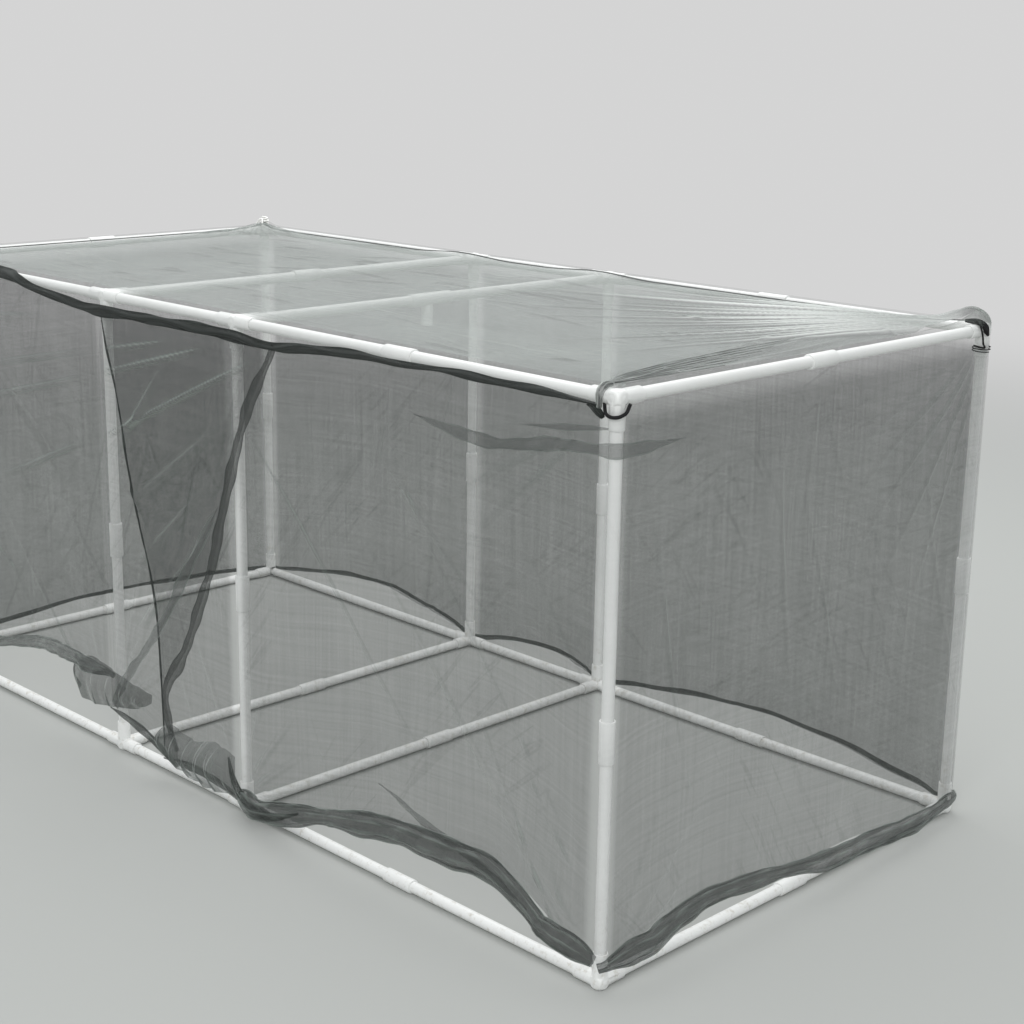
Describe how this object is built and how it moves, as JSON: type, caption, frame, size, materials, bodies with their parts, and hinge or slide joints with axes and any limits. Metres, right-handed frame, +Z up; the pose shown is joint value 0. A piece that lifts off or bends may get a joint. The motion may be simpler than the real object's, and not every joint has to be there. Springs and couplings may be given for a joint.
{
  "type": "crop cage",
  "caption": "Free-standing garden crop cage: a white push-fit pipe frame under a black fine-mesh net cover with a lifting door.",
  "frame": {"origin": "on the ground at the middle of the frame", "axes": "+X to the right along the front, +Y to the back, +Z up"},
  "size_m": [2.1858, 1.0471, 0.9524],
  "materials": {
    "pipe_white": "satin white rigid plastic pipe",
    "fitting_white": "moulded white plastic, slightly glossier than the pipe",
    "net_black": "fine black see-through mesh, pale and hazy at a low angle"
  },
  "bodies": {
    "frame": {"bottom_crossbar_mid_left": "pipe_white", "bottom_crossbar_mid_right": "pipe_white", "bottom_fitting_back_left": "fitting_white", "bottom_fitting_back_mid_left": "fitting_white", "bottom_fitting_back_mid_right": "fitting_white", "bottom_fitting_back_right": "fitting_white", "bottom_fitting_front_left": "fitting_white", "bottom_fitting_front_mid_left": "fitting_white", "bottom_fitting_front_mid_right": "fitting_white", "bottom_fitting_front_right": "fitting_white", "bottom_rail_back_door": "pipe_white", "bottom_rail_back_left": "pipe_white", "bottom_rail_back_right": "pipe_white", "bottom_rail_front_door": "pipe_white", "bottom_rail_front_left": "pipe_white", "bottom_rail_front_right": "pipe_white", "bottom_rail_left_end": "pipe_white", "bottom_rail_right_end": "pipe_white", "net_back": "net_black", "net_front_left": "net_black", "net_front_right": "net_black", "net_left_end": "net_black", "net_right_end": "net_black", "net_top": "net_black", "post_back_left_lower": "pipe_white", "post_back_left_upper": "pipe_white", "post_back_mid_left_lower": "pipe_white", "post_back_mid_left_upper": "pipe_white", "post_back_mid_right_lower": "pipe_white", "post_back_mid_right_upper": "pipe_white", "post_back_right_lower": "pipe_white", "post_back_right_upper": "pipe_white", "post_front_left_lower": "pipe_white", "post_front_left_upper": "pipe_white", "post_front_mid_left_lower": "pipe_white", "post_front_mid_left_upper": "pipe_white", "post_front_mid_right_lower": "pipe_white", "post_front_mid_right_upper": "pipe_white", "post_front_right_lower": "pipe_white", "post_front_right_upper": "pipe_white", "top_crossbar_mid_left": "pipe_white", "top_crossbar_mid_right": "pipe_white", "top_fitting_back_left": "fitting_white", "top_fitting_back_mid_left": "fitting_white", "top_fitting_back_mid_right": "fitting_white", "top_fitting_back_right": "fitting_white", "top_fitting_front_left": "fitting_white", "top_fitting_front_mid_left": "fitting_white", "top_fitting_front_mid_right": "fitting_white", "top_fitting_front_right": "fitting_white", "top_rail_back_door": "pipe_white", "top_rail_back_left": "pipe_white", "top_rail_back_right": "pipe_white", "top_rail_front_door": "pipe_white", "top_rail_front_left": "pipe_white", "top_rail_front_right": "pipe_white", "top_rail_left_end": "pipe_white", "top_rail_right_end": "pipe_white"},
    "door": {"door_flap_inner": "net_black", "door_flap_outer": "net_black"}
  },
  "joints": [
    {"name": "door_lift", "type": "hinge", "parent": "frame", "child": "door", "pos_m": [-0.27, -0.5055, 0.90256], "axis": [-1, 0, 0], "range_deg": [0, 150]}
  ]
}
